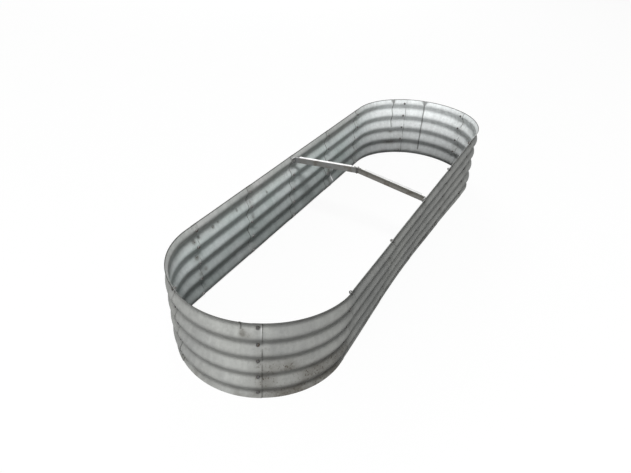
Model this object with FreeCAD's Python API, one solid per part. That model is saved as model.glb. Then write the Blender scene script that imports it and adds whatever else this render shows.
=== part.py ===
import FreeCAD, Part
import math
import os

from FreeCAD import Vector

# A bottomless raised garden bed: a ring of corrugated steel panels, bolted together at lapped seams,
# with a two-piece brace across the middle. Millimetres, +X along the bed, +Z up, and the origin in the
# middle of the footprint on the ground. "Near" is the end at -X and "left" is the wall at +Y.

# ---- driving dimensions -------------------------------------------------------------------------
HEIGHT = 300.0
SPINE_HALF = 698.0  # from the middle of the bed to the centre that an end is bent around
VALLEY_RADIUS = 294.5  # from that centre to the innermost line of the sheet, at the rim
WALL_LEAN = 14.0  # how far the base stands inside the rim, on every side

SHEET = 0.8
WAVE_PITCH = 65.0
WAVE_DEPTH = 13.0
FLANK_ANGLE = 28.0  # the steepest slope of a wave
VALLEYS = 5

WALL_PANEL = 327.0  # from one seam to the next along a straight wall
WALL_PANELS = 4  # on each side
LEFT_ROW_CENTRE = -7.0
RIGHT_ROW_CENTRE = -34.0
NEAR_SEAM_ANGLES = (147.5, 208.5)  # degrees around the near centre, from +X towards +Y
FAR_SEAM_ANGLES = (327.0, 391.0)  # the same around the far centre
LAP_MARGIN = 12.5  # sheet past the line of bolts
LAP_SPACING = 1.1  # between the mid surfaces of two lapped sheets

BOLT = 6.0
BOLT_HOLE = 7.0
BOLT_LENGTH = 10.0
HEAD_FLATS = 10.0
HEAD_HEIGHT = 4.0
NUT_HEIGHT = 5.0
NUT_BORE = 6.2
SEAT_GAP = 0.1  # under a bolt head, a nut or a tab

BAR = 2.0  # thickness of the brace's steel
BAR_WEB = 24.0
BAR_FLANGE = 13.0
BAR_BEND = 2.6  # outer radius of its bends
BAR_RISE = 37.0  # of the middle of the brace over its ends
BAR_OVERLAP = 17.0  # of each bar past the middle of the brace
TAB_OFFSET = 12.0  # from the wall bolt to the middle of the web
TAB_EDGE = 10.0  # of the tab past the wall bolt
FLANGE_WALL_GAP = 20.0
FLANGE_MIDDLE_GAP = 28.0
MIDDLE_BOLT_SPACING = 14.0
BAR_LAP_GAP = 0.1

# ---- worked out ---------------------------------------------------------------------------------
UP = Vector(0, 0, 1)
LEAN = math.atan2(WALL_LEAN, HEIGHT)
BASE_RADIUS = VALLEY_RADIUS - WALL_LEAN
FLANK = math.radians(FLANK_ANGLE)
HALF_PITCH = WAVE_PITCH / 2
WAVE_RADIUS = (HALF_PITCH * math.tan(FLANK) - WAVE_DEPTH) / (2 / math.cos(FLANK) - 2)
FIRST_VALLEY = (HEIGHT / math.cos(LEAN) - (VALLEYS - 1) * WAVE_PITCH) / 2  # up the wall, from the ground
LAP_FACE = (LAP_SPACING + SHEET) / 2  # from the middle of a lap to its outer or inner face
STRAIGHT = 2 * SPINE_HALF
BEND = math.pi * VALLEY_RADIUS
HALF_RING = STRAIGHT + BEND


def wall_point(up_wall, outward):
    """A point of the wall's section, as distance from the spine and height."""
    return Vector(
        BASE_RADIUS + up_wall * math.sin(LEAN) + outward * math.cos(LEAN),
        0,
        up_wall * math.cos(LEAN) - outward * math.sin(LEAN),
    )


def wave_line(offset):
    """The edges and the two ends of the sheet's mid line moved outward by offset, past ground and rim."""
    spare = math.ceil(FIRST_VALLEY / HALF_PITCH) + 1
    edges = []
    points = []
    for i in range(-spare, 2 * VALLEYS - 1 + spare):
        crest = i % 2 == 1
        bend = -1 if crest else 1
        middle = FIRST_VALLEY + i * HALF_PITCH
        centre = (WAVE_DEPTH if crest else 0) + bend * WAVE_RADIUS
        radius = WAVE_RADIUS - bend * offset
        arc = []
        for turn in (-FLANK, 0, FLANK):
            along = middle + radius * math.sin(turn)
            arc.append(wall_point(along, centre - bend * radius * math.cos(turn)))
        if points:
            edges.append(Part.makeLine(points[-1], arc[0]))
        edges.append(Part.Arc(*arc).toShape())
        points += arc
    return edges, points[0], points[-1]


def sheet_section():
    """The corrugated sheet cut across, as a face in the plane y = 0, level at the ground and the rim."""
    outer, outer_low, outer_high = wave_line(SHEET / 2)
    inner, inner_low, inner_high = wave_line(-SHEET / 2)
    ends = [Part.makeLine(outer_low, inner_low), Part.makeLine(outer_high, inner_high)]
    strip = Part.Face(Part.Wire(Part.__sortEdges__(outer + inner + ends)))
    inside = BASE_RADIUS - WAVE_DEPTH
    outside = VALLEY_RADIUS + 2 * WAVE_DEPTH
    corners = [(inside, 0), (outside, 0), (outside, HEIGHT), (inside, HEIGHT), (inside, 0)]
    window = Part.Face(Part.makePolygon([Vector(x, 0, z) for x, z in corners]))
    return strip.common(window).Faces[0]


def ring_place(around):
    """The centre on the spine and the direction in degrees of a place on the ring.

    around is measured along the innermost line of the sheet at the rim, from the far end of the left
    wall: along that wall, around the near end, back along the right wall and around the far end.
    """
    half, rest = divmod(around, HALF_RING)
    side = 1 if half % 2 == 0 else -1
    facing = 90 + 180 * half
    if rest < STRAIGHT:
        return side * (SPINE_HALF - rest), facing
    return -side * SPINE_HALF, facing + math.degrees((rest - STRAIGHT) / VALLEY_RADIUS)


class Seam:
    """A line of bolts up the wall, at a place on the ring."""

    def __init__(self, name, around):
        self.name = name
        self.around = around
        self.spine_x, self.degrees = ring_place(around)

    def turned(self, shape):
        """Moves a shape made at y = 0, as wall_point gives it, to this seam."""
        shape.rotate(Vector(0, 0, 0), UP, self.degrees)
        shape.translate(Vector(self.spine_x, 0, 0))
        return shape

    def normal(self):
        angle = math.radians(self.degrees)
        return Vector(math.cos(angle), math.sin(angle), 0)

    def foot(self):
        return Vector(self.spine_x, 0, 0) + self.normal() * VALLEY_RADIUS


def wall_seams(side, wall_middle):
    """The seams along one straight wall, in the order that runs around the bed."""
    seams = []
    for i in range(WALL_PANELS + 1):
        around = wall_middle + WALL_PANEL * (i - WALL_PANELS / 2)
        seams.append(Seam(f"{side}_seam_{i + 1}", around))
    return seams


def nose_seams(end, bend_start, facing, angles):
    """The seams around one end, which is bent from its direction facing on."""
    seams = []
    for i, angle in enumerate(angles):
        around = bend_start + math.radians(angle - facing) * VALLEY_RADIUS
        seams.append(Seam(f"{end}_seam_{i + 1}", around))
    return seams


def ring_seams():
    """All seams, in the order that runs around the bed."""
    left = wall_seams("left", SPINE_HALF - LEFT_ROW_CENTRE)
    near = nose_seams("near", STRAIGHT, 90, NEAR_SEAM_ANGLES)
    right = wall_seams("right", HALF_RING + SPINE_HALF + RIGHT_ROW_CENTRE)
    far = nose_seams("far", HALF_RING + STRAIGHT, 270, FAR_SEAM_ANGLES)
    return left, near, right, far


def straight_run(section, start, end):
    """A flat stretch of wall between two places on the ring."""
    run = section.extrude(Vector(0, end - start, 0))
    run.translate(Vector(0, start % HALF_RING - SPINE_HALF, 0))
    run.rotate(Vector(0, 0, 0), UP, ring_place(start)[1])
    return run


def bent_run(section, start, end):
    """A stretch of an end between two places on the ring."""
    spine_x, degrees = ring_place(start)
    face = section.copy()
    face.rotate(Vector(0, 0, 0), UP, degrees)
    run = face.revolve(Vector(0, 0, 0), UP, math.degrees((end - start) / VALLEY_RADIUS))
    run.translate(Vector(spine_x, 0, 0))
    return run


def panel_blank(section, first, last):
    """A panel from one seam to the next, with its laps, before it is bolted up."""
    start = first.around - LAP_MARGIN
    end = last.around + LAP_MARGIN
    if end < start:
        end += 2 * HALF_RING
    cuts = [start, end]
    for half in range(-1, 4):
        for tangent in (half * HALF_RING, half * HALF_RING + STRAIGHT):
            if start < tangent < end:
                cuts.append(tangent)
    cuts.sort()
    runs = []
    for run_start, run_end in zip(cuts, cuts[1:]):
        flat = run_start % HALF_RING < STRAIGHT
        make_run = straight_run if flat else bent_run
        runs.append(make_run(section, run_start, run_end))
    return runs[0].fuse(runs[1:]) if len(runs) > 1 else runs[0]


def bolted_up(panel, first, last, first_side, last_side):
    """Shifts and turns a panel by a hair, so that each end lies outside (1) or inside (-1) its lap."""
    middle = (first.normal() + last.normal()).normalize()
    shift = LAP_SPACING / 2 * (first_side + last_side) / 2
    panel.translate(middle * (shift / middle.dot(first.normal())))
    twist = (last_side - first_side) / 2
    if twist:
        chord = last.foot() - first.foot()
        swing = UP.cross(chord)
        first_lever = swing.dot(first.normal())
        last_lever = swing.dot(last.normal())
        share = last_lever / (first_lever + last_lever)
        pivot = first.foot() + chord * share
        angle = LAP_SPACING / 2 / (first_lever * share)
        panel.rotate(pivot, UP, math.degrees(angle) * twist)
    return panel


def valley_places():
    return [FIRST_VALLEY + i * WAVE_PITCH for i in range(VALLEYS)]


def outward_axis():
    return wall_point(0, 1) - wall_point(0, 0)


def hole_row(seam):
    """The drilled holes of one seam, as cylinders."""
    reach = WAVE_DEPTH / 2
    row = []
    for up_wall in valley_places():
        start = wall_point(up_wall, -reach)
        row.append(seam.turned(Part.makeCylinder(BOLT_HOLE / 2, 2 * reach, start, outward_axis())))
    return row


def hexagon(across_flats):
    """A hexagonal face across the X axis at x = 0, with flats at top and bottom."""
    corner = across_flats / 2 / math.cos(math.radians(30))
    points = []
    for i in range(7):
        angle = math.radians(60 * i)
        points.append(Vector(0, corner * math.cos(angle), corner * math.sin(angle)))
    return Part.Face(Part.makePolygon(points))


def groove_seat():
    """How far the flats of a bolt head stand off the bottom of the groove that it lies in."""
    groove = WAVE_RADIUS - SHEET / 2
    half = HEAD_FLATS / 2
    return groove - math.sqrt(groove * groove - half * half)


def hex_bolt(seat, length):
    """A bolt along X, its head's underside at x = seat, its tail towards -X."""
    head = hexagon(HEAD_FLATS).extrude(Vector(HEAD_HEIGHT, 0, 0))
    shank = Part.makeCylinder(BOLT / 2, length, Vector(-length, 0, 0), Vector(1, 0, 0))
    bolt = head.fuse(shank)
    bolt.translate(Vector(seat, 0, 0))
    return bolt


def hex_nut(seat):
    """A nut along X, its bearing face at x = seat, its body towards -X."""
    body = hexagon(HEAD_FLATS).extrude(Vector(-NUT_HEIGHT, 0, 0))
    bore = Part.makeCylinder(NUT_BORE / 2, NUT_HEIGHT, Vector(-NUT_HEIGHT, 0, 0), Vector(1, 0, 0))
    nut = body.cut(bore)
    nut.translate(Vector(seat, 0, 0))
    return nut


def on_wall(shape, seam, up_wall):
    """Takes a shape made along X about the origin to a valley of a seam."""
    shape.rotate(Vector(0, 0, 0), Vector(0, 1, 0), math.degrees(LEAN))
    shape.translate(wall_point(up_wall, 0))
    return seam.turned(shape)


def fastener_rows(seam, carries_brace):
    """The bolts and the nuts of one seam, each as a group of separate solids."""
    head_seat = LAP_FACE + groove_seat() + SEAT_GAP
    bolts = []
    nuts = []
    for up_wall in valley_places():
        packing = BAR if carries_brace and up_wall == valley_places()[-1] else 0
        bolts.append(on_wall(hex_bolt(head_seat, BOLT_LENGTH + packing), seam, up_wall))
        nuts.append(on_wall(hex_nut(-LAP_FACE - 2 * SEAT_GAP - packing), seam, up_wall))
    return Part.makeCompound(bolts), Part.makeCompound(nuts)


def angle_section():
    """The brace bar cut across: a web down from a flange that points to +X."""
    top = BAR_WEB / 2
    outer = [
        Part.makeLine(Vector(0, 0, -top), Vector(0, 0, top - BAR_BEND)),
        bend_arc(BAR_BEND, BAR_BEND, top - BAR_BEND),
        Part.makeLine(Vector(BAR_BEND, 0, top), Vector(BAR_FLANGE, 0, top)),
        Part.makeLine(Vector(BAR_FLANGE, 0, top), Vector(BAR_FLANGE, 0, top - BAR)),
        Part.makeLine(Vector(BAR_FLANGE, 0, top - BAR), Vector(BAR_BEND, 0, top - BAR)),
        bend_arc(BAR_BEND - BAR, BAR_BEND, top - BAR_BEND),
        Part.makeLine(Vector(BAR, 0, top - BAR_BEND), Vector(BAR, 0, -top)),
        Part.makeLine(Vector(BAR, 0, -top), Vector(0, 0, -top)),
    ]
    return Part.Face(Part.Wire(outer))


def bend_arc(radius, x, z):
    """The quarter turn of a bend about (x, z), from the web up to the flange."""
    half = radius / math.sqrt(2)
    start = Vector(x - radius, 0, z)
    middle = Vector(x - half, 0, z + half)
    end = Vector(x, 0, z + radius)
    return Part.Arc(start, middle, end).toShape()


def brace_bar(wall_bolt, middle, side, shift):
    """One bar, from its tab under a wall's top bolt to its lap at the middle of the brace.

    side is 1 at the left wall and -1 at the right wall. shift moves the web across the brace's line.
    """
    run = middle - wall_bolt
    level = math.hypot(run.x, run.y)
    length = math.hypot(level, run.z)
    climb = math.degrees(math.atan2(run.z, level))
    yaw = math.degrees(math.atan2(run.x, -side * run.y))

    bar = angle_section().extrude(Vector(0, length + BAR_OVERLAP - BAR / 2, 0))
    bar.translate(Vector(0, BAR / 2, 0))
    for start, end in ((0, FLANGE_WALL_GAP), (length - FLANGE_MIDDLE_GAP, length + BAR_OVERLAP)):
        cutter = Part.makeBox(BAR_FLANGE, end - start + BAR, BAR_WEB)
        cutter.translate(Vector(BAR, start, BAR_WEB / 2 - BAR_BEND))
        bar = bar.cut(cutter)
    bar.translate(Vector(shift - BAR / 2, 0, 0))
    bar.rotate(Vector(0, 0, 0), Vector(1, 0, 0), climb)
    for up_or_down in (-1, 1):
        place = Vector(-BAR_FLANGE, level, run.z + up_or_down * MIDDLE_BOLT_SPACING / 2)
        bar = bar.cut(Part.makeCylinder(BOLT_HOLE / 2, 2 * BAR_FLANGE, place, Vector(1, 0, 0)))
    bar.rotate(Vector(0, 0, 0), UP, -yaw)

    tab = Part.makeBox(TAB_EDGE + TAB_OFFSET + BAR / 2 + shift, BAR, BAR_WEB)
    tab.translate(Vector(-TAB_EDGE - TAB_OFFSET, 0, -BAR_WEB / 2))
    hole = Part.makeCylinder(BOLT_HOLE / 2, BAR, Vector(-TAB_OFFSET, 0, 0), Vector(0, 1, 0))
    tab = tab.cut(hole)
    tab.rotate(Vector(0, 0, 0), Vector(1, 0, 0), math.degrees(LEAN))
    bar = bar.fuse(tab)
    bar.translate(Vector(TAB_OFFSET, 0, 0))
    if side > 0:
        bar = bar.mirror(Vector(0, 0, 0), Vector(0, 1, 0))
    bar.translate(wall_bolt)
    return bar


def save(name, shape):
    if not shape.isValid():
        raise ValueError(f"{name} is not a valid solid")
    shape.exportStep(f"parts/{name}.step")


def lap_sides(i, count):
    """Whether panel i lies outside (1) or inside (-1) the laps at its first and last seam."""
    if i < WALL_PANELS - 1:
        return 1, -1
    if i == WALL_PANELS - 1:
        return 1, 1
    if i == count - 1:
        return -1, -1
    return -1, 1


def make_panels(seams):
    """The panels of the ring, from each seam to the next."""
    section = sheet_section()
    names = [f"left_wall_panel_{i + 1}" for i in range(WALL_PANELS)]
    names += ["near_left_corner_panel", "near_end_panel", "near_right_corner_panel"]
    names += [f"right_wall_panel_{i + 1}" for i in range(WALL_PANELS)]
    names += ["far_right_corner_panel", "far_end_panel", "far_left_corner_panel"]
    for i, name in enumerate(names):
        first = seams[i]
        last = seams[(i + 1) % len(seams)]
        panel = bolted_up(panel_blank(section, first, last), first, last, *lap_sides(i, len(names)))
        save(name, panel.cut(Part.makeCompound(hole_row(first) + hole_row(last))))


def make_fasteners(seams, brace_seams):
    for seam in seams:
        bolts, nuts = fastener_rows(seam, seam in brace_seams)
        save(f"{seam.name}_bolts", bolts)
        save(f"{seam.name}_nuts", nuts)


def make_brace(left_seam, right_seam):
    """Two bars that lean against each other, bolted together at the middle of the bed."""
    top = wall_point(valley_places()[-1], -LAP_FACE - SEAT_GAP)
    left_bolt = left_seam.turned(Part.Vertex(top)).Point
    right_bolt = right_seam.turned(Part.Vertex(top)).Point
    middle = (left_bolt + right_bolt) / 2 + UP * BAR_RISE
    shift = (BAR + BAR_LAP_GAP) / 2
    save("left_brace_bar", brace_bar(left_bolt, middle, 1, -shift))
    save("right_brace_bar", brace_bar(right_bolt, middle, -1, shift))

    across = left_bolt - right_bolt
    yaw = math.degrees(math.atan2(-across.x, across.y))
    bolts = []
    nuts = []
    for up_or_down in (-1, 1):
        level = Vector(TAB_OFFSET, 0, up_or_down * MIDDLE_BOLT_SPACING / 2)
        bolt = hex_bolt(shift + BAR / 2 + SEAT_GAP, BOLT_LENGTH)
        nut = hex_nut(-shift - BAR / 2 - SEAT_GAP)
        for shape, group in ((bolt, bolts), (nut, nuts)):
            shape.rotate(Vector(0, 0, 0), UP, 180 + yaw)
            shape.translate(middle + level)
            group.append(shape)
    save("brace_middle_bolts", Part.makeCompound(bolts))
    save("brace_middle_nuts", Part.makeCompound(nuts))


def main():
    os.makedirs("parts", exist_ok=True)
    left, near, right, far = ring_seams()
    seams = left + near + right + far
    brace_seams = (left[WALL_PANELS // 2], right[WALL_PANELS // 2])
    make_panels(seams)
    make_fasteners(seams, brace_seams)
    make_brace(*brace_seams)


main()
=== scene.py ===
"""A raised garden bed of corrugated galvanised panels, dressed for rendering.

Everything is in the frame of the construction model: metres, +X along the bed, +Z up, the origin in the
middle of the footprint. Sizes of the bed are millimetres and match the construction; those of the
studio and the materials are metres.
"""

import math
import random

import bpy
from mathutils import Matrix, Vector

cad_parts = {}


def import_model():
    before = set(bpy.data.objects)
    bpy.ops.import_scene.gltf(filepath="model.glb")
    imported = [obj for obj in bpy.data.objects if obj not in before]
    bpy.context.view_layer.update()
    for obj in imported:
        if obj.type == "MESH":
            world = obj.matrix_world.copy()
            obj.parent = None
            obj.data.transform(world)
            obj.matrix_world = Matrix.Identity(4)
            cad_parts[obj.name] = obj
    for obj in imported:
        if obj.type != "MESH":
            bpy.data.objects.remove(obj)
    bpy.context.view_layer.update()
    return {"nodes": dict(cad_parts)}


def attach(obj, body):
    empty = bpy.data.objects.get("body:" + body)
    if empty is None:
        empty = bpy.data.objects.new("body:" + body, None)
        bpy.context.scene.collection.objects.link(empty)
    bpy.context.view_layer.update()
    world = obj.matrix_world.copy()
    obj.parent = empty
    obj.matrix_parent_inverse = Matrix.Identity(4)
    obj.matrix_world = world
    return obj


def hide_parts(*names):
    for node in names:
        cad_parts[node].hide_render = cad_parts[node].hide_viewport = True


MM = 0.001

# ---- the ring of panels -------------------------------------------------------------------------
HEIGHT = 300.0
SPINE_HALF = 698.0  # from the middle to the centre that an end is bent around
VALLEY_RADIUS = 294.5  # from that centre to the innermost line of the sheet, at the rim
WALL_LEAN = 14.0  # how far the base stands inside the rim
SHEET = 0.8
WAVE_PITCH = 65.0
WAVE_DEPTH = 13.0
FLANK = math.radians(28.0)  # the steepest slope of a wave
VALLEYS = 5
WALL_PANEL = 327.0  # from one seam to the next along a straight wall
WALL_PANELS = 4  # on each side
LEFT_ROW_CENTRE = -7.0
RIGHT_ROW_CENTRE = -34.0
NEAR_SEAM_ANGLES = (147.5, 208.5)  # degrees around an end's centre, from +X towards +Y
FAR_SEAM_ANGLES = (327.0, 391.0)
LAP_MARGIN = 12.5  # sheet past the line of bolts
LAP_STEP = 1.1  # between the mid surfaces of two lapped sheets

LEAN = math.atan2(WALL_LEAN, HEIGHT)
BASE_RADIUS = VALLEY_RADIUS - WALL_LEAN
HALF_PITCH = WAVE_PITCH / 2
WAVE_RADIUS = (HALF_PITCH * math.tan(FLANK) - WAVE_DEPTH) / (2 / math.cos(FLANK) - 2)
FIRST_VALLEY = (HEIGHT / math.cos(LEAN) - (VALLEYS - 1) * WAVE_PITCH) / 2
STRAIGHT = 2 * SPINE_HALF
END_LENGTH = math.pi * VALLEY_RADIUS
HALF_RING = STRAIGHT + END_LENGTH
RING_LENGTH = 2 * HALF_RING

# ---- fasteners ----------------------------------------------------------------------------------
BOLT = 6.0
THREAD_PITCH = 1.0
THREAD_DEPTH = 0.55
TAIL_BEVEL = 0.3
BOLT_LENGTH = 10.0
HEAD_FLATS = 10.0
HEAD_HEIGHT = 4.0
HEAD_EDGE = 0.35  # where the bevel under a head ends
HEAD_BEVEL = 0.72  # share of a head's height at which its top bevel starts
HEAD_ROUND = (0.96, 0.9)  # radius of its round underside and top, in half flats
NUT_HEIGHT = 5.0
NUT_BEVELS = (0.15, 0.82)  # shares of a nut's height at which its bevels end and start
NUT_ROUND = (0.95, 0.92)  # radius of its round bearing face and top, in half flats
NUT_SLACK = 0.05  # between a bolt and its nut
SPANNER_SLIP = 0.12  # radians that a bolt head may be off level
SEAT_GAP = 0.1
LAP_FACE = (LAP_STEP + SHEET) / 2  # from the middle of a lap to its outer or inner face
BAR = 2.0  # thickness of the brace's steel
BAR_RISE = 37.0  # of the middle of the brace over its ends
BAR_END_HEIGHT = 280.0
BAR_END_PLACE = 285.0  # from the middle of the bed to where the brace meets a wall

# ---- mesh fineness ------------------------------------------------------------------------------
ROWS = 120  # up a wall
COLUMN = 9.0  # between columns of a panel
EDGE_STEPS = (0.0, 0.8, 1.8, 3.5, 6.0)  # extra columns beside a lap edge
MARK_COLUMNS = 6  # extra columns on each side of a small mark
MARK_FINENESS = 3  # of them to a mark's half width
RING_SIDES = 12  # of bolts and nuts
SHARP = math.radians(40)  # edges that turn by more stay sharp


# ---- places around the ring ---------------------------------------------------------------------
def near_at(degrees):
    """The place of a direction at the near end, from +X towards +Y."""
    return STRAIGHT + math.radians(degrees - 90) * VALLEY_RADIUS


def far_at(degrees):
    """The place of a direction at the far end, from +X towards +Y."""
    return HALF_RING + STRAIGHT + math.radians(degrees - 270) * VALLEY_RADIUS


def left_at(x):
    """The place of x on the left wall."""
    return SPINE_HALF - x


def right_at(x):
    """The place of x on the right wall."""
    return HALF_RING + SPINE_HALF + x


# ---- wear ---------------------------------------------------------------------------------------
SHEET_INSET = 0.8  # how far inward the dressed sheet stands, so that its ripples stay in the solid's box
# How the thin sheet has bowed: place, half width, how far outward at the base and at the rim, and the
# power of the change between them.
BOWS = (
    (right_at(-165), 400, -17, 0, 1),
    (right_at(734), 266, 14, 0, 2),
    (far_at(320), 105, 0, 2.5, 1),
    (near_at(150), 170, -5, -4, 1),
)
# Creases: place, half width, how far outward, and the heights between which each runs.
CREASES = (
    (far_at(403), 4.0, -2.0, 60, 340),
    (far_at(370), 5.0, -3.0, 40, 340),
    (left_at(368), 3.5, -2.0, -40, 84),
    (near_at(199.5), 4.0, -1.8, 258, 340),
)
CREASE_REACH = 4  # half widths from a crease that it is felt at
CREASE_FADE = 20.0  # height over which a crease ends
# Creases so sharp that they show dark, with painted shade along them: place, half width, the height each
# starts at, and how much wider its notch is at the rim.
KINKS = (
    (far_at(403), 2.6, 150, 13),
    (far_at(370), 3.4, 30, 16),
    (near_at(199.5), 2.3, 268, 1),
)
NOTCH = 22.0  # height of a notch
LAP_STAIN = 26.0  # half width of the dirt at a seam
LAP_LINE = 1.7  # half width of the painted shadow line along a sheet's edge, at the lap's gap

# Marks: place, height, half width, half height, strength. A panel's two faces have their own.
MUD = (
    (near_at(214), 95, 34, 70, 0.9),
    (near_at(226), 128, 30, 20, 0.8),
    (near_at(232), 150, 110, 170, 0.22),
    (near_at(242), 10, 130, 32, 1.8),
    (near_at(264), 50, 70, 36, 1.3),
    (near_at(246), 72, 70, 34, 1.0),
    (near_at(200.5), 261, 7, 8, 1.6),
    (near_at(203), 255, 16, 9, 0.5),
    (right_at(-34), 280, 40, 12, 0.6),
)
INSIDE_MUD = (
    (left_at(-414), 236, 5, 5, 2.0),
    (left_at(-558), 238, 6, 5, 2.0),
    (left_at(-526), 241, 5, 4, 1.4),
    (left_at(-640), 239, 6, 5, 1.4),
    (left_at(-669), 237, 8, 9, 1.4),
    (left_at(-663), 169, 11, 8, 1.4),
    (left_at(-622), 101, 8, 6, 1.4),
    (left_at(-652), 97, 9, 6, 1.2),
    (left_at(-216), 225, 5, 4, 1.6),
    (left_at(-318), 163, 9, 9, 1.0),
    (left_at(340), 90, 20, 14, 1.2),
    (left_at(384), 98, 12, 8, 1.6),
    (near_at(112), 100, 10, 40, 0.6),
    (left_at(352), 30, 12, 20, 0.9),
    (far_at(402), 62, 40, 12, 1.2),
    (far_at(402), 120, 12, 8, 1.2),
)
# Painted highlights: thin bright streaks on the outside and on the inside: place, height, half width,
# half height, strength.
PAINTED_GLINTS = ((near_at(208.5) + 10, 276, 1.6, 18, 0.45),)
INSIDE_PAINTED_GLINTS = (
    (left_at(377), 78, 3.2, 12, 1.2),
    (left_at(379), 56, 3.2, 12, 1.2),
    (left_at(381), 34, 3.2, 12, 1.2),
    (left_at(385), 13, 3.2, 12, 1.2),
)

# ---- the photograph's view ----------------------------------------------------------------------
PHOTO_WIDTH = 631
FOCAL_PIXELS = 574.68
CAMERA_PLACE = (-1934.25, -766.52, 1316.09)
CAMERA_HEADING = 0.45067  # radians from +X towards +Y
CAMERA_DIP = 0.56948
CAMERA_ROLL = 0.06480
SENSOR_WIDTH = 36.0

# ---- light and floor ----------------------------------------------------------------------------
# Softboxes: name, place, what each is aimed at, size, and power in watts.
SOFTBOXES = (
    ("key_softbox", (-6.5, -3.0, 12.0), (0, 0, 0), (4.0, 4.0), 1590),
    ("fill_softbox", (-8.0, 0.7, 0.9), (0, 0, 0.15), (4.0, 1.2), 165),
    ("back_softbox", (7.0, 5.0, 4.0), (0, 0, 0.15), (4.0, 3.0), 230),
)
WHITE = (1, 1, 1, 1)
SKY = (0.235, 0.24, 0.235, 1)
FLOOR_HALF = 30.0
FLOOR_BOUNCE = 0.05  # how much light the floor gives back to the sheet
FLOOR_WHITE = 0.88  # share of plain white in the floor that the camera sees


def wave(up_wall):
    """How far outward of its valleys the sheet's mid line is, and its slope there."""
    along = abs((up_wall - FIRST_VALLEY + HALF_PITCH) % WAVE_PITCH - HALF_PITCH)
    rising = (up_wall - FIRST_VALLEY) % WAVE_PITCH < HALF_PITCH
    arc = WAVE_RADIUS * math.sin(FLANK)
    if along < arc:
        outward = WAVE_RADIUS - math.sqrt(WAVE_RADIUS**2 - along**2)
        slope = along / math.sqrt(WAVE_RADIUS**2 - along**2)
    elif along > HALF_PITCH - arc:
        left = HALF_PITCH - along
        outward = WAVE_DEPTH - WAVE_RADIUS + math.sqrt(WAVE_RADIUS**2 - left**2)
        slope = left / math.sqrt(WAVE_RADIUS**2 - left**2)
    else:
        outward = WAVE_RADIUS * (1 - math.cos(FLANK)) + (along - arc) * math.tan(FLANK)
        slope = math.tan(FLANK)
    return outward, slope if rising else -slope


def section_rows():
    """(up_wall, outward, slope) of the mid line at even heights from the ground to the rim."""
    rows = []
    for i in range(ROWS + 1):
        height = HEIGHT * i / ROWS
        up_wall = height / math.cos(LEAN)
        for _ in range(3):  # settles where on the leaning wall that height is
            outward, slope = wave(up_wall)
            up_wall = (height + outward * math.sin(LEAN)) / math.cos(LEAN)
        rows.append((up_wall, outward, slope))
    return rows


def ring_place(around):
    """(spine x, angle) at a distance around the ring, counterclockwise from the left wall's far end."""
    half, rest = divmod(around, HALF_RING)
    side = 1 if half % 2 == 0 else -1
    facing = math.pi * (0.5 + half)
    if rest < STRAIGHT:
        return side * (SPINE_HALF - rest), facing
    return -side * SPINE_HALF, facing + (rest - STRAIGHT) / VALLEY_RADIUS


def ring_point(around, up_wall, outward):
    """The point of the frame, in metres, at a place of the ring's unrolled sheet."""
    spine_x, angle = ring_place(around)
    radius = BASE_RADIUS + up_wall * math.sin(LEAN) + outward * math.cos(LEAN)
    height = up_wall * math.cos(LEAN) - outward * math.sin(LEAN)
    return Vector((spine_x + radius * math.cos(angle), radius * math.sin(angle), height)) * MM


def seam_places():
    """Places around the ring of the seams, from the left wall's far seam."""
    steps = [WALL_PANEL * (i - WALL_PANELS / 2) for i in range(WALL_PANELS + 1)]
    left = [left_at(LEFT_ROW_CENTRE - step) for step in steps]
    right = [right_at(RIGHT_ROW_CENTRE + step) for step in steps]
    return left + [near_at(a) for a in NEAR_SEAM_ANGLES] + right + [far_at(a) for a in FAR_SEAM_ANGLES]


SEAMS = seam_places()
SEAM_NAMES = (
    [f"left_seam_{i + 1}" for i in range(WALL_PANELS + 1)]
    + ["near_seam_1", "near_seam_2"]
    + [f"right_seam_{i + 1}" for i in range(WALL_PANELS + 1)]
    + ["far_seam_1", "far_seam_2"]
)
BRACE_SEAMS = ("left_seam_3", "right_seam_3")
PANEL_NAMES = (
    [f"left_wall_panel_{i + 1}" for i in range(WALL_PANELS)]
    + ["near_left_corner_panel", "near_end_panel", "near_right_corner_panel"]
    + [f"right_wall_panel_{i + 1}" for i in range(WALL_PANELS)]
    + ["far_right_corner_panel", "far_end_panel", "far_left_corner_panel"]
)


def lap_sides(i):
    """Whether panel i lies outside (1) or inside (-1) the laps at its first and last seam."""
    if i < WALL_PANELS - 1:
        return 1, -1
    if i == WALL_PANELS - 1:
        return 1, 1
    if i == len(PANEL_NAMES) - 1:
        return -1, -1
    return -1, 1


def lap_edges():
    """Where sheet edges show around the ring: (on the outside, on the inside)."""
    outside = []
    inside = []
    for i, seam in enumerate(SEAMS):
        before_is_outer = lap_sides(i - 1 if i else len(SEAMS) - 1)[1] > 0
        direction = 1 if before_is_outer else -1
        outside.append(seam + direction * LAP_MARGIN)
        inside.append(seam - direction * LAP_MARGIN)
    return outside, inside


def ring_gap(a, b):
    """The shorter way around the ring from b to a, signed."""
    return (a - b + RING_LENGTH / 2) % RING_LENGTH - RING_LENGTH / 2


def bulge(around, height):
    """How far the sheet stands outward of its true shape at a place: ripples, bows and creases."""
    push = 0.2 * math.sin(around / 61 + height / 90) + 0.2 * math.sin(around / 143 - height / 57 + 1.0)
    push += 0.15 * math.sin(around / 37 + 2.0) * math.sin(height / 45) - SHEET_INSET
    drop = min(1, max(0, 1 - height / HEIGHT))
    for place, width, base, rim, power in BOWS:
        gap = ring_gap(around, place) / width
        push += (rim + (base - rim) * drop**power) * math.exp(-gap * gap)
    for place, width, depth, low, high in CREASES:
        gap = ring_gap(around, place) / width
        if abs(gap) < CREASE_REACH:
            fade = faded(height - low) * faded(high - height)
            push += depth * math.exp(-gap * gap) * fade
    return push


def faded(past_end):
    """How much of a crease is left at a distance inside its end."""
    return min(1, max(0, past_end / CREASE_FADE + 0.5))


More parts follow.
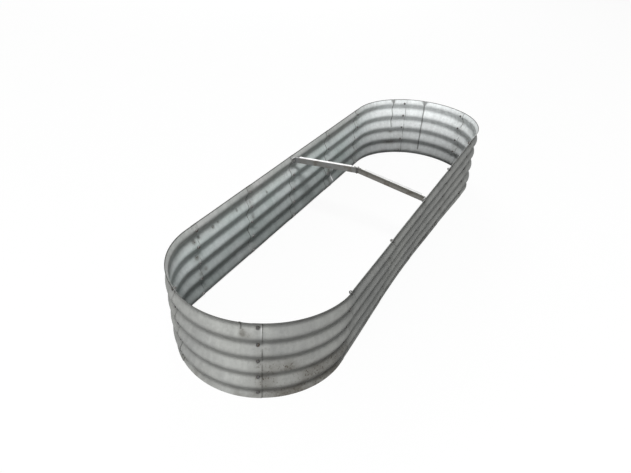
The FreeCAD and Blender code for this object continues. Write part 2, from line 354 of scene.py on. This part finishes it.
def stained(around, height, spots):
    """How much the marks of a list cover a place, from 0 to 1."""
    total = 0
    for place, low, wide, high, amount in spots:
        gap = ring_gap(around, place) / wide
        rise = (height - low) / high
        total += amount * math.exp(-gap * gap - rise * rise)
    return min(1, total)


def kinked(around, height):
    """1 on the painted shade of a sharp crease, 0 away from it."""
    darkest = 0
    for place, width, low, notch in KINKS:
        if height > low:
            spread = width + notch * max(0, 1 - (HEIGHT - height) / NOTCH)
            darkest = max(darkest, math.exp(-((ring_gap(around, place) / spread) ** 4)))
    return darkest


def panel_columns(start, end):
    """Distances around the ring of a panel's columns, closer together at lap edges and small marks."""
    count = max(2, round((end - start) / COLUMN))
    columns = {round(start + (end - start) * i / count, 3) for i in range(count + 1)}
    marks = MUD + INSIDE_MUD + PAINTED_GLINTS + INSIDE_PAINTED_GLINTS
    fine = [mark[:2] for mark in CREASES]
    fine += [(mark[0], mark[2]) for mark in marks if mark[2] < COLUMN]
    for turn in (0, RING_LENGTH, -RING_LENGTH):
        for edge in sum(lap_edges(), []):
            spots = [edge + turn + sign * step for step in EDGE_STEPS for sign in (-1, 1)]
            columns.update(round(spot, 3) for spot in spots if start < spot < end)
        for place, width in fine:
            steps = [i * width / MARK_FINENESS for i in range(-MARK_COLUMNS, MARK_COLUMNS + 1)]
            spots = [place + turn + step for step in steps]
            columns.update(round(spot, 2) for spot in spots if start < spot < end)
    return sorted(columns)


def new_object(name, verts, faces, material, slot):
    """A smooth-shaded mesh object of the part, with its sharp edges kept."""
    mesh = bpy.data.meshes.new(name)
    mesh.from_pydata([tuple(v) for v in verts], [], faces)
    mesh.validate()
    mesh.polygons.foreach_set("use_smooth", [True] * len(mesh.polygons))
    mesh.set_sharp_from_angle(angle=SHARP)
    obj = bpy.data.objects.new(name, mesh)
    bpy.context.scene.collection.objects.link(obj)
    mesh.materials.append(material)
    return obj


def sheet_faces(n_columns, n_rows):
    """The faces of a closed sheet, whose points run up each column, first outside and then inside."""

    def vertex(side, c, r):
        return (side * n_columns + c) * n_rows + r

    faces = []
    top = n_rows - 1
    end = n_columns - 1
    for c in range(end):
        for r in range(top):
            outer = [vertex(0, c, r), vertex(0, c + 1, r), vertex(0, c + 1, r + 1), vertex(0, c, r + 1)]
            inner = [vertex(1, c, r), vertex(1, c, r + 1), vertex(1, c + 1, r + 1), vertex(1, c + 1, r)]
            faces += [outer, inner]
        faces.append([vertex(0, c, top), vertex(0, c + 1, top), vertex(1, c + 1, top), vertex(1, c, top)])
        faces.append([vertex(0, c + 1, 0), vertex(0, c, 0), vertex(1, c, 0), vertex(1, c + 1, 0)])
    for r in range(top):
        faces.append([vertex(0, 0, r + 1), vertex(1, 0, r + 1), vertex(1, 0, r), vertex(0, 0, r)])
        faces.append([vertex(0, end, r), vertex(1, end, r), vertex(1, end, r + 1), vertex(0, end, r + 1)])
    return faces


def make_panel(i, material):
    """One corrugated panel as a closed sheet, with its place on the unrolled ring as its UV map."""
    first, last = SEAMS[i], SEAMS[(i + 1) % len(SEAMS)]
    if last < first:
        last += RING_LENGTH
    first_side, last_side = lap_sides(i)
    columns = panel_columns(first - LAP_MARGIN, last + LAP_MARGIN)
    rows = section_rows()
    verts = []
    uvs = []
    marks = {name: [] for name in ("inside", "lap", "lap_line", "mud", "painted_glint", "kink")}
    for face_side, edges, mud, painted_glints in zip(
        (1, -1), lap_edges(), (MUD, INSIDE_MUD), (PAINTED_GLINTS, INSIDE_PAINTED_GLINTS)
    ):
        half = face_side * SHEET / 2
        for around in columns:
            share = (around - first) / (last - first)
            lap_shift = LAP_STEP / 2 * (first_side + (last_side - first_side) * share)
            seam_gap = min(abs(ring_gap(around, seam)) for seam in SEAMS)
            edge_gap = min(abs(ring_gap(around, edge)) for edge in edges)
            for up_wall, outward, slope in rows:
                tilt = math.sqrt(1 + slope * slope)
                height = up_wall * math.cos(LEAN)
                push = lap_shift + bulge(around, height)
                point = ring_point(around, up_wall - slope / tilt * half, outward + half / tilt + push)
                point.z = min(max(point.z, 0), HEIGHT * MM)
                verts.append(point)
                uvs.append((around * MM, height * MM))
                marks["inside"].append(0.0 if face_side > 0 else 1.0)
                marks["lap"].append(math.exp(-((seam_gap / LAP_STAIN) ** 2)))
                marks["lap_line"].append(math.exp(-((edge_gap / LAP_LINE) ** 2)))
                marks["mud"].append(stained(around, height, mud))
                marks["painted_glint"].append(stained(around, height, painted_glints))
                marks["kink"].append(kinked(around, height))
    name = PANEL_NAMES[i]
    faces = sheet_faces(len(columns), len(rows))
    obj = new_object(f"sheet_{name}", verts, faces, material, "corrugated_sheet")
    uv_layer = obj.data.uv_layers.new(name="unrolled")
    for loop in obj.data.loops:
        uv_layer.data[loop.index].uv = uvs[loop.vertex_index]
    for attribute, values in marks.items():
        obj.data.attributes.new(attribute, "FLOAT", "POINT").data.foreach_set("value", values)
    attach(obj, "root")
    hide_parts(name)


def lathe_rings(rings):
    """Faces between consecutive rings of equal length, closed at both ends with caps."""
    count = len(rings[0])
    verts = [v for ring in rings for v in ring]
    faces = []
    for k in range(len(rings) - 1):
        for j in range(count):
            a, b = k * count + j, k * count + (j + 1) % count
            faces.append([a, b, b + count, a + count])
    faces.append(list(reversed(range(count))))
    faces.append([len(verts) - count + j for j in range(count)])
    return verts, faces


def round_ring(x, radius):
    """Points around the X axis."""
    turn = 2 * math.pi / RING_SIDES
    angles = [j * turn for j in range(RING_SIDES)]
    return [Vector((x, radius * math.cos(angle), radius * math.sin(angle))) for angle in angles]


def hex_ring(x, flats):
    """A hexagon with a vertex in the middle of each flat, so that it joins a round ring."""
    ring = []
    for j in range(RING_SIDES):
        angle = 2 * math.pi * j / RING_SIDES
        radius = flats / 2 / (math.cos(math.radians(30)) if j % 2 == 0 else 1)
        ring.append(Vector((x, radius * math.cos(angle), radius * math.sin(angle))))
    return ring


def bolt_shape(seat, length):
    """A hex bolt along X with its underside at x = seat, its threaded tail towards -X."""
    rings = [round_ring(-length, BOLT / 2 - THREAD_DEPTH - TAIL_BEVEL)]
    turns = int(length / THREAD_PITCH)
    for k in range(turns):
        x = -length + THREAD_PITCH * (k + 0.5)
        rings.append(round_ring(x, BOLT / 2))
        rings.append(round_ring(x + THREAD_PITCH / 2, BOLT / 2 - THREAD_DEPTH))
    rings.append(round_ring(0, BOLT / 2))
    rings.append(round_ring(0, HEAD_FLATS / 2 * HEAD_ROUND[0]))
    rings.append(hex_ring(HEAD_EDGE, HEAD_FLATS))
    rings.append(hex_ring(HEAD_HEIGHT * HEAD_BEVEL, HEAD_FLATS))
    rings.append(round_ring(HEAD_HEIGHT, HEAD_FLATS / 2 * HEAD_ROUND[1]))
    verts, faces = lathe_rings(rings)
    return [v + Vector((seat, 0, 0)) for v in verts], faces


def nut_shape(seat):
    """A hex nut along X with its bearing face at x = seat, around a bolt."""
    rings = [
        round_ring(-NUT_HEIGHT, BOLT / 2 + NUT_SLACK),
        round_ring(-NUT_HEIGHT, HEAD_FLATS / 2 * NUT_ROUND[1]),
        hex_ring(-NUT_HEIGHT * NUT_BEVELS[1], HEAD_FLATS),
        hex_ring(-NUT_HEIGHT * NUT_BEVELS[0], HEAD_FLATS),
        round_ring(0, HEAD_FLATS / 2 * NUT_ROUND[0]),
        round_ring(0, BOLT / 2 + NUT_SLACK),
    ]
    count = len(rings[0])
    verts = [v + Vector((seat, 0, 0)) for ring in rings for v in ring]
    faces = []
    for k in range(len(rings)):
        for j in range(count):
            a, b = k * count + j, k * count + (j + 1) % count
            c, d = (k + 1) % len(rings) * count + j, (k + 1) % len(rings) * count + (j + 1) % count
            faces.append([b, a, c, d])
    return verts, faces


def spun(shape, angle):
    """A shape turned about its X axis."""
    verts, faces = shape
    turn = Matrix.Rotation(angle, 3, "X")
    return [turn @ v for v in verts], faces


def merged(shapes):
    """Several shapes as one mesh."""
    verts, faces = [], []
    for more_verts, more_faces in shapes:
        start = len(verts)
        verts += more_verts
        faces += [[start + v for v in face] for face in more_faces]
    return verts, faces


def on_wall(shape, around, up_wall):
    """A shape made along X, in millimetres, set on a valley of the ring."""
    verts, faces = shape
    spine_x, angle = ring_place(around)
    turn = Matrix.Rotation(angle, 3, "Z") @ Matrix.Rotation(LEAN, 3, "Y")
    foot = ring_point(around, up_wall, bulge(around, up_wall * math.cos(LEAN)))
    return [foot + turn @ v * MM for v in verts], faces


def make_fasteners(bolt_material, nut_material):
    """The bolts and nuts up every seam, each turned as a spanner left it."""
    rng = random.Random(7)
    groove = WAVE_RADIUS - SHEET / 2
    head_seat = LAP_FACE + groove - math.sqrt(groove**2 - (HEAD_FLATS / 2) ** 2) + SEAT_GAP
    for name, around in zip(SEAM_NAMES, SEAMS):
        bolts, nuts = [], []
        for k in range(VALLEYS):
            up_wall = FIRST_VALLEY + k * WAVE_PITCH
            packing = BAR if name in BRACE_SEAMS and k == VALLEYS - 1 else 0
            slip = rng.uniform(-SPANNER_SLIP, SPANNER_SLIP)
            bolt = spun(bolt_shape(head_seat, BOLT_LENGTH + packing), slip)
            nut = spun(nut_shape(-LAP_FACE - 2 * SEAT_GAP - packing), rng.uniform(0, math.pi / 3))
            bolts.append(on_wall(bolt, around, up_wall))
            nuts.append(on_wall(nut, around, up_wall))
        for kind, shapes, material in (("bolts", bolts, bolt_material), ("nuts", nuts, nut_material)):
            obj = new_object(f"{name}_{kind}_detailed", *merged(shapes), material, "fasteners")
            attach(obj, "root")
            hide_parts(f"{name}_{kind}")


# ---- materials ----------------------------------------------------------------------------------
class Nodes:
    """Short names for building a node material."""

    def __init__(self, name):
        self.material = bpy.data.materials.new(name)
        self.material.use_nodes = True
        self.tree = self.material.node_tree
        self.tree.nodes.clear()

    def add(self, kind, inputs=None, **settings):
        """A node with its settings, and with values or links for its inputs."""
        node = self.tree.nodes.new(kind)
        for key, value in settings.items():
            setattr(node, key, value)
        for key, value in (inputs or {}).items():
            self.feed(node.inputs[key], value)
        return node

    def feed(self, socket, value):
        if isinstance(value, bpy.types.NodeSocket):
            self.tree.links.new(value, socket)
        else:
            socket.default_value = value

    def math(self, operation, a, b=0.0, clamp=False):
        node = self.add("ShaderNodeMath", operation=operation, use_clamp=clamp)
        self.feed(node.inputs[0], a)
        self.feed(node.inputs[1], b)
        return node.outputs[0]

    def mix(self, share, a, b, blend="MIX"):
        node = self.add("ShaderNodeMix", data_type="RGBA", blend_type=blend)
        self.feed(node.inputs[0], share)
        self.feed(node.inputs[6], a)
        self.feed(node.inputs[7], b)
        return node.outputs[2]

    def ramp(self, value, low, high):
        """0 below low, 1 above high, smooth between."""
        node = self.add("ShaderNodeMapRange", interpolation_type="SMOOTHSTEP")
        self.feed(node.inputs["Value"], value)
        node.inputs["From Min"].default_value = low
        node.inputs["From Max"].default_value = high
        return node.outputs["Result"]

    def noise(self, where, scale, detail=4.0, roughness=0.55):
        inputs = {"Vector": where, "Scale": scale, "Detail": detail, "Roughness": roughness}
        return self.add("ShaderNodeTexNoise", inputs).outputs[0]

    def stretched(self, where, x, y, z):
        return self.add("ShaderNodeMapping", {"Vector": where, "Scale": (x, y, z)}).outputs[0]

    def attribute(self, name):
        return self.add("ShaderNodeAttribute", attribute_name=name).outputs["Fac"]

    def metal(self, colour, roughness, metallic, bumps, strength, distance, more=None):
        """Ends the material in a principled shader over fine bumps."""
        bump = self.add("ShaderNodeBump", {"Height": bumps, "Strength": strength, "Distance": distance})
        inputs = {
            "Base Color": colour,
            "Roughness": roughness,
            "Metallic": metallic,
            "Normal": bump.outputs[0],
        }
        inputs.update(more or {})
        self.surface(self.add("ShaderNodeBsdfPrincipled", inputs))

    def surface(self, shader):
        """Makes a shader node the surface of the material."""
        output = self.add("ShaderNodeOutputMaterial")
        self.feed(output.inputs["Surface"], shader.outputs[0])


def grey(value, tint=(1, 1, 1)):
    return (value * tint[0], value * tint[1], value * tint[2], 1)


DIRT = (0.125, 0.118, 0.10, 1)
DARK_MUD = (0.09, 0.08, 0.065, 1)
LAP_SHADOW = (0.05, 0.047, 0.042, 1)
# painted shade for the rim's lip and the sharp creases
RIM_PAINTED_SHADE = (0.06, 0.06, 0.055, 1)
WARM_BAND = (0.81, 0.755, 0.745, 1)  # tint of the sheet's inside below the rim
BRACE_STAIN = (0.10, 0.08, 0.06, 1)
# painted shade under the brace's flange
BRACE_FLANGE_SHADE = (0.07, 0.068, 0.055, 1)
RUST = (0.075, 0.052, 0.035, 1)
RIM_LINE = (0.2962, 0.2985)  # metres between which the painted shade line of the rim sets in


def galvanised_sheet():
    """Weathered galvanised steel: soft crystals, water marks, dirt at the laps and towards the ground;
    painted shade low inside the ring, along lap edges, at the rim and in sharp creases; painted
    highlights at the far end and in thin streaks.
    """
    n = Nodes("galvanised_sheet")
    solid = n.add("ShaderNodeTexCoord").outputs["Object"]
    unrolled = n.add("ShaderNodeUVMap", uv_map="unrolled").outputs["UV"]
    place = n.add("ShaderNodeSeparateXYZ", {"Vector": solid})
    height = place.outputs["Z"]
    inside = n.attribute("inside")
    lap = n.attribute("lap")
    line = n.attribute("lap_line")

    clouds = n.noise(solid, 6.0, 5.0)
    blotches = n.noise(solid, 26.0, 5.0, 0.6)
    crystals = n.add("ShaderNodeTexVoronoi", {"Vector": solid, "Scale": 110.0}).outputs["Color"]
    crystal = n.add("ShaderNodeSeparateColor", {"Color": crystals}).outputs[0]
    grain = n.noise(solid, 380.0, 2.0)
    runs = n.noise(n.stretched(unrolled, 55, 6, 1), 1.0, 5.0)

    cloudy = n.ramp(clouds, 0.3, 0.7)
    outer = n.mix(cloudy, grey(0.325, (0.985, 1, 0.975)), grey(0.39, (0.985, 1, 0.96)))
    inner = n.mix(cloudy, grey(0.68, (0.90, 1, 0.98)), grey(0.78, (0.94, 1, 1)))
    # painted highlight: the inside made lighter towards the far end
    far_end = n.ramp(place.outputs["X"], 0.5, 0.9)
    inner = n.mix(far_end, inner, grey(0.88, (0.97, 1, 1)))
    # painted shade: the inside made darker towards the ground
    low_painted_shade = n.math("ADD", 0.42, n.math("MULTIPLY", n.ramp(height, 0.02, 0.26), 0.58))
    inner = n.mix(1.0, inner, low_painted_shade, "MULTIPLY")
    warm = n.math("MULTIPLY", n.ramp(height, 0.2, 0.28), n.math("SUBTRACT", 1.0, far_end))
    inner = n.mix(warm, inner, WARM_BAND, "MULTIPLY")
    colour = n.mix(inside, outer, inner)
    shade = n.math("ADD", n.math("MULTIPLY", crystal, 0.10), 0.95)
    for texture, depth in ((runs, 0.35), (blotches, 0.30), (grain, 0.20)):
        shade = n.math("ADD", shade, n.math("MULTIPLY", n.math("SUBTRACT", texture, 0.5), depth))
    colour = n.mix(1.0, colour, shade, "MULTIPLY")

    speckle = n.ramp(n.noise(solid, 150.0, 6.0, 0.7), 0.55, 0.64)
    near_seam = n.math("MULTIPLY", lap, n.ramp(n.noise(solid, 14.0), 0.4, 0.75))
    near_seam = n.math("MULTIPLY", near_seam, n.math("ADD", n.math("MULTIPLY", inside, 0.5), 1.0))
    dirt = n.math("MULTIPLY", near_seam, n.math("ADD", n.math("MULTIPLY", speckle, 0.6), 0.15))
    low = n.math("SUBTRACT", 1.0, n.ramp(height, 0.0, 0.05))
    splash = n.math("MULTIPLY", low, n.ramp(n.noise(solid, 22.0, 6.0), 0.38, 0.7))
    dirt = n.math("ADD", dirt, n.math("MULTIPLY", splash, 0.45), clamp=True)
    colour = n.mix(dirt, colour, DIRT)
    patchy = n.math("ADD", n.math("MULTIPLY", speckle, 0.6), n.math("MULTIPLY", blotches, 1.1))
    mud = n.math("MULTIPLY", n.attribute("mud"), patchy, clamp=True)
    colour = n.mix(mud, colour, DARK_MUD)
    # painted shadow of the lap's gap, broken into dashes, along each sheet edge
    broken = n.math("MULTIPLY", line, n.ramp(n.noise(solid, 45.0), 0.3, 0.6))
    colour = n.mix(n.math("MULTIPLY", broken, 0.75), colour, LAP_SHADOW)
    # painted highlight: thin bright streaks
    colour = n.mix(n.attribute("painted_glint"), colour, grey(0.95))
    # painted shade: a dark line along the rim and down the sharp creases
    edge = n.math("MULTIPLY", n.ramp(height, *RIM_LINE), 0.85)
    edge = n.math("MAXIMUM", edge, n.math("MULTIPLY", n.attribute("kink"), 0.7))
    colour = n.mix(edge, colour, RIM_PAINTED_SHADE)

    roughness = n.math("ADD", 0.48, n.math("MULTIPLY", clouds, 0.14))
    roughness = n.math("ADD", roughness, n.math("MULTIPLY", dirt, 0.3))
    weathered = n.math("SUBTRACT", 1.0, n.math("MULTIPLY", inside, 0.85))
    metallic = n.math("MULTIPLY", n.math("SUBTRACT", 1.0, dirt), n.math("MULTIPLY", weathered, 0.08))
    bumps = n.math("ADD", n.math("MULTIPLY", crystal, 0.4), n.math("MULTIPLY", grain, 0.6))
    n.metal(colour, roughness, metallic, bumps, 0.25, 0.0004, {"Specular IOR Level": 0.08})
    return n.material


def brace_steel():
    """The brace: galvanised strip with a painted highlight on its upward faces, stained brown along the
    web, most at the right, with painted shade at the top of the right bar's web.
    """
    n = Nodes("brace_steel")
    solid = n.add("ShaderNodeTexCoord").outputs["Object"]
    place = n.add("ShaderNodeSeparateXYZ", {"Vector": solid})
    facing = n.add("ShaderNodeNewGeometry").outputs["Normal"]
    upward_painted_highlight = n.ramp(n.add("ShaderNodeSeparateXYZ", {"Vector": facing}).outputs["Z"], 0.6, 0.9)
    right = n.ramp(place.outputs["Y"], 0.03, -0.03)
    clouds = n.noise(solid, 9.0)
    grain = n.noise(solid, 300.0, 3.0)
    web = n.mix(n.ramp(clouds, 0.35, 0.65), grey(0.23, (0.97, 1, 1)), grey(0.18, (1, 0.97, 0.9)))
    web = n.mix(right, web, grey(0.19, (1, 0.96, 0.88)))
    stain = n.ramp(n.noise(solid, 30.0, 6.0), 0.5, 0.66)
    drop = n.math("MULTIPLY", n.math("ABSOLUTE", place.outputs["Y"]), BAR_RISE / BAR_END_PLACE)
    middle = (BAR_END_HEIGHT + BAR_RISE) * MM
    up_web = n.math("SUBTRACT", n.math("ADD", place.outputs["Z"], drop), middle)
    under_flange_shade = n.math("MULTIPLY", n.ramp(up_web, -0.002, 0.006), right)
    colour = n.mix(n.math("MULTIPLY", stain, 0.55), web, BRACE_STAIN)
    # painted shade along the top of the right bar's web, under the flange
    colour = n.mix(n.math("MULTIPLY", under_flange_shade, 0.6), colour, BRACE_FLANGE_SHADE)
    # painted highlight: faces turned upward made near white
    colour = n.mix(upward_painted_highlight, colour, grey(0.85))
    roughness = n.math("ADD", 0.42, n.math("MULTIPLY", stain, 0.3))
    n.metal(colour, roughness, 0.2, grain, 0.2, 0.0003)
    return n.material


def rusty_zinc(name, zinc, shine):
    """Bolts and nuts: dull zinc, darkened, with rust starting."""
    n = Nodes(name)
    solid = n.add("ShaderNodeTexCoord").outputs["Object"]
    rust = n.ramp(n.noise(solid, 130.0, 5.0), 0.46, 0.68)
    grain = n.noise(solid, 900.0, 2.0)
    colour = n.mix(rust, grey(zinc), RUST)
    roughness = n.math("ADD", 0.4, n.math("MULTIPLY", rust, 0.4))
    metallic = n.math("MULTIPLY", n.math("SUBTRACT", 1.0, rust), shine)
    n.metal(colour, roughness, metallic, grain, 0.3, 0.0002)
    return n.material


def floor_paint():
    """White where it is seen or mirrored, keeping a faint shadow, and a dull bounce on the sheet."""
    n = Nodes("floor_paint")
    path = n.add("ShaderNodeLightPath")
    seen = n.math("MAXIMUM", path.outputs["Is Camera Ray"], path.outputs["Is Glossy Ray"])
    seen = n.math("MAXIMUM", seen, path.outputs["Is Transmission Ray"])
    texture = n.noise(n.add("ShaderNodeTexCoord").outputs["Object"], 3.0)
    pale = n.mix(texture, grey(0.93), grey(0.96))
    colour = n.mix(seen, grey(FLOOR_BOUNCE), pale)
    dull = n.add("ShaderNodeBsdfDiffuse", {"Color": colour})
    white = n.add("ShaderNodeEmission", {"Color": WHITE, "Strength": 1.0})
    share = n.math("MULTIPLY", seen, FLOOR_WHITE)
    shader = n.add("ShaderNodeMixShader")
    n.feed(shader.inputs[0], share)
    n.feed(shader.inputs[1], dull.outputs[0])
    n.feed(shader.inputs[2], white.outputs[0])
    n.surface(shader)
    return n.material


# ---- studio -------------------------------------------------------------------------------------
def make_floor():
    mesh = bpy.data.meshes.new("floor")
    half = FLOOR_HALF
    corners = [(-half, -half, 0), (half, -half, 0), (half, half, 0), (-half, half, 0)]
    mesh.from_pydata(corners, [], [[0, 1, 2, 3]])
    floor = bpy.data.objects.new("floor", mesh)
    bpy.context.scene.collection.objects.link(floor)
    mesh.materials.append(floor_paint())


def make_light(name, place, target, size, watts):
    light = bpy.data.lights.new(name, "AREA")
    light.shape = "RECTANGLE"
    light.size, light.size_y = size
    light.energy = watts
    obj = bpy.data.objects.new(name, light)
    obj.location = place
    aim = Vector(target) - Vector(place)
    obj.rotation_euler = aim.to_track_quat("-Z", "Y").to_euler()
    bpy.context.scene.collection.objects.link(obj)


def make_world():
    """A dim even sky that the camera sees as white."""
    world = bpy.data.worlds.new("studio")
    world.use_nodes = True
    tree = world.node_tree
    background = tree.nodes["Background"]
    path = tree.nodes.new("ShaderNodeLightPath")
    mix = tree.nodes.new("ShaderNodeMix")
    mix.data_type = "RGBA"
    tree.links.new(path.outputs["Is Camera Ray"], mix.inputs[0])
    mix.inputs[6].default_value = SKY
    mix.inputs[7].default_value = WHITE
    tree.links.new(mix.outputs[2], background.inputs["Color"])
    bpy.context.scene.world = world


def make_camera():
    """The photograph's view, as fitted to the rims and the seams."""
    heading, dip, roll = CAMERA_HEADING, CAMERA_DIP, CAMERA_ROLL
    forward = Vector(
        (math.cos(dip) * math.cos(heading), math.cos(dip) * math.sin(heading), -math.sin(dip))
    )
    right = Vector((math.sin(heading), -math.cos(heading), 0))
    up = right.cross(forward)
    rolled_right = right * math.cos(roll) + up * math.sin(roll)
    rolled_up = up * math.cos(roll) - right * math.sin(roll)
    camera = bpy.data.cameras.new("camera")
    camera.sensor_fit = "HORIZONTAL"
    camera.sensor_width = SENSOR_WIDTH
    camera.lens = FOCAL_PIXELS * SENSOR_WIDTH / PHOTO_WIDTH
    camera.clip_start = 0.05
    camera.clip_end = 200
    obj = bpy.data.objects.new("camera", camera)
    turn = Matrix((rolled_right, rolled_up, -forward)).transposed()
    obj.matrix_world = Matrix.Translation(Vector(CAMERA_PLACE) * MM) @ turn.to_4x4()
    bpy.context.scene.collection.objects.link(obj)
    bpy.context.scene.camera = obj


def paint(obj, material):
    obj.data.materials.clear()
    obj.data.materials.append(material)


def main():
    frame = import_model()
    sheet = galvanised_sheet()
    steel = brace_steel()
    dark_zinc = rusty_zinc("dark_zinc", 0.09, 0.15)
    pale_zinc = rusty_zinc("pale_zinc", 0.30, 0.5)
    for i in range(len(PANEL_NAMES)):
        make_panel(i, sheet)
    make_fasteners(dark_zinc, pale_zinc)
    for name, obj in frame["nodes"].items():
        if name.startswith("brace_middle"):
            paint(obj, dark_zinc)
        elif name.endswith("_brace_bar"):
            paint(obj, steel)
    make_floor()
    make_world()
    for softbox in SOFTBOXES:
        make_light(*softbox)
    make_camera()
    bpy.context.scene.view_settings.view_transform = "Standard"


main()
